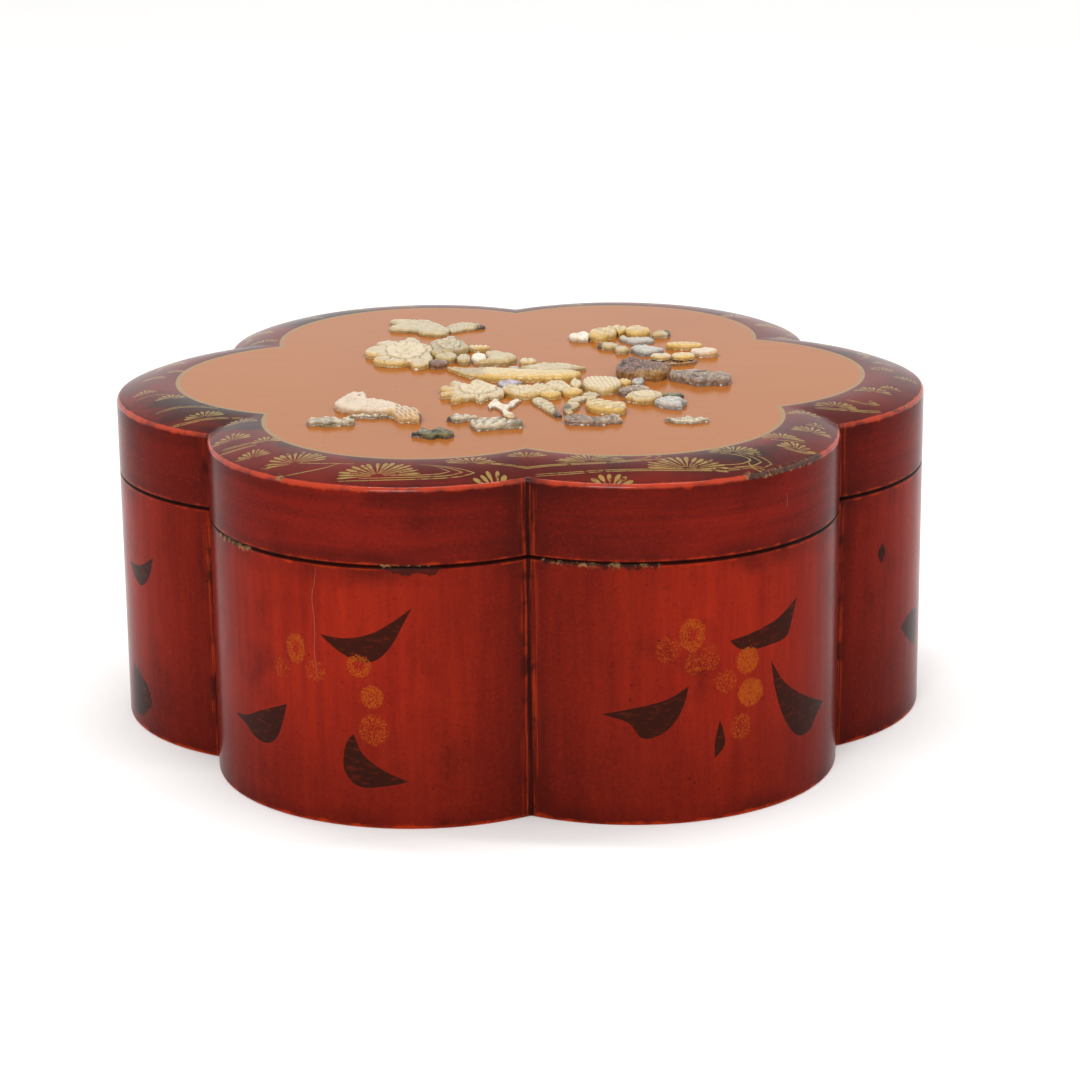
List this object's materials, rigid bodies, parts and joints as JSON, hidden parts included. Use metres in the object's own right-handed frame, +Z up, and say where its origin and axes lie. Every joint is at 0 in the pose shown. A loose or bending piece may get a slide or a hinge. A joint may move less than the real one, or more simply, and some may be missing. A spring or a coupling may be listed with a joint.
{
  "type": "shell box",
  "caption": "Lobed red lacquer box with a lift-off lid; the flat panel carries carved shell birds and flowers inside a gilt-painted border.",
  "frame": {"origin": "middle of the underside, on the surface that the box stands on", "axes": "+Z up; +X to the right across the widest lobes; the side with the sitting bird faces -Y"},
  "size_m": [0.34, 0.3168, 0.1472],
  "materials": {
    "red_lacquer": "polished red lacquer over wood, worn orange-red at the edges",
    "onlay_cream": "polished carved shell",
    "onlay_yellow": "polished carved shell",
    "onlay_pearl": "polished carved mother-of-pearl",
    "onlay_white": "polished carved shell",
    "onlay_pink": "polished carved shell",
    "onlay_grey": "polished carved soapstone",
    "onlay_blue": "polished carved mother-of-pearl",
    "onlay_lavender": "polished carved mother-of-pearl",
    "onlay_mauve": "polished carved abalone shell",
    "onlay_purple": "polished carved abalone shell",
    "onlay_olive": "polished carved soapstone"
  },
  "bodies": {
    "root": {"box_body": "red_lacquer", "lid": "red_lacquer", "left_chrysanthemum": "onlay_cream", "left_blossom": "onlay_pearl", "middle_chrysanthemum": "onlay_cream", "cream_flower": "onlay_cream", "purple_flower": "onlay_purple", "yellow_bloom_left": "onlay_yellow", "yellow_bloom_right": "onlay_yellow", "left_bud_arm": "onlay_yellow", "left_sepal": "onlay_pearl", "left_shade_leaf": "onlay_purple", "left_oval_bud": "onlay_pearl", "left_white_bud": "onlay_white", "small_bud": "onlay_pearl", "blue_chip": "onlay_blue", "front_petal_left": "onlay_yellow", "front_petal_right": "onlay_yellow", "side_leaf": "onlay_cream", "hatched_bud": "onlay_cream", "hatched_bud_tip": "onlay_yellow", "blue_leaf_left": "onlay_blue", "blue_leaf_right": "onlay_blue", "dark_leaf": "onlay_olive", "pink_bud": "onlay_pink", "yellow_bloom_middle": "onlay_yellow", "back_leaf": "onlay_olive", "grey_leaf_back": "onlay_blue", "grey_leaf_front": "onlay_blue", "stem_leaf_left": "onlay_olive", "stem_leaf_right": "onlay_pearl", "yellow_bar": "onlay_yellow", "pink_petal": "onlay_pink", "shell_base": "onlay_purple", "cream_petal_left": "onlay_cream", "cream_petal_right": "onlay_yellow", "swallow_body": "onlay_pearl", "swallow_wing": "onlay_pearl", "left_round_leaf": "onlay_pearl", "long_bird_body": "onlay_yellow", "long_bird_wing": "onlay_pearl", "lavender_leaf": "onlay_lavender", "front_bird_body": "onlay_cream", "mauve_leaf": "onlay_mauve", "tulip_leaf": "onlay_blue", "grey_butterfly": "onlay_mauve", "forked_twig": "onlay_white", "curled_leaf": "onlay_yellow", "sitting_bird": "onlay_pink", "twisted_twig": "onlay_pearl", "curved_twig": "onlay_pearl", "rock_left": "onlay_grey", "rock_under_bird": "onlay_grey", "rock_small": "onlay_grey", "rock_middle": "onlay_grey", "rock_dark": "onlay_olive", "rock_mauve": "onlay_mauve", "rock_right": "onlay_grey"}
  },
  "joints": []
}
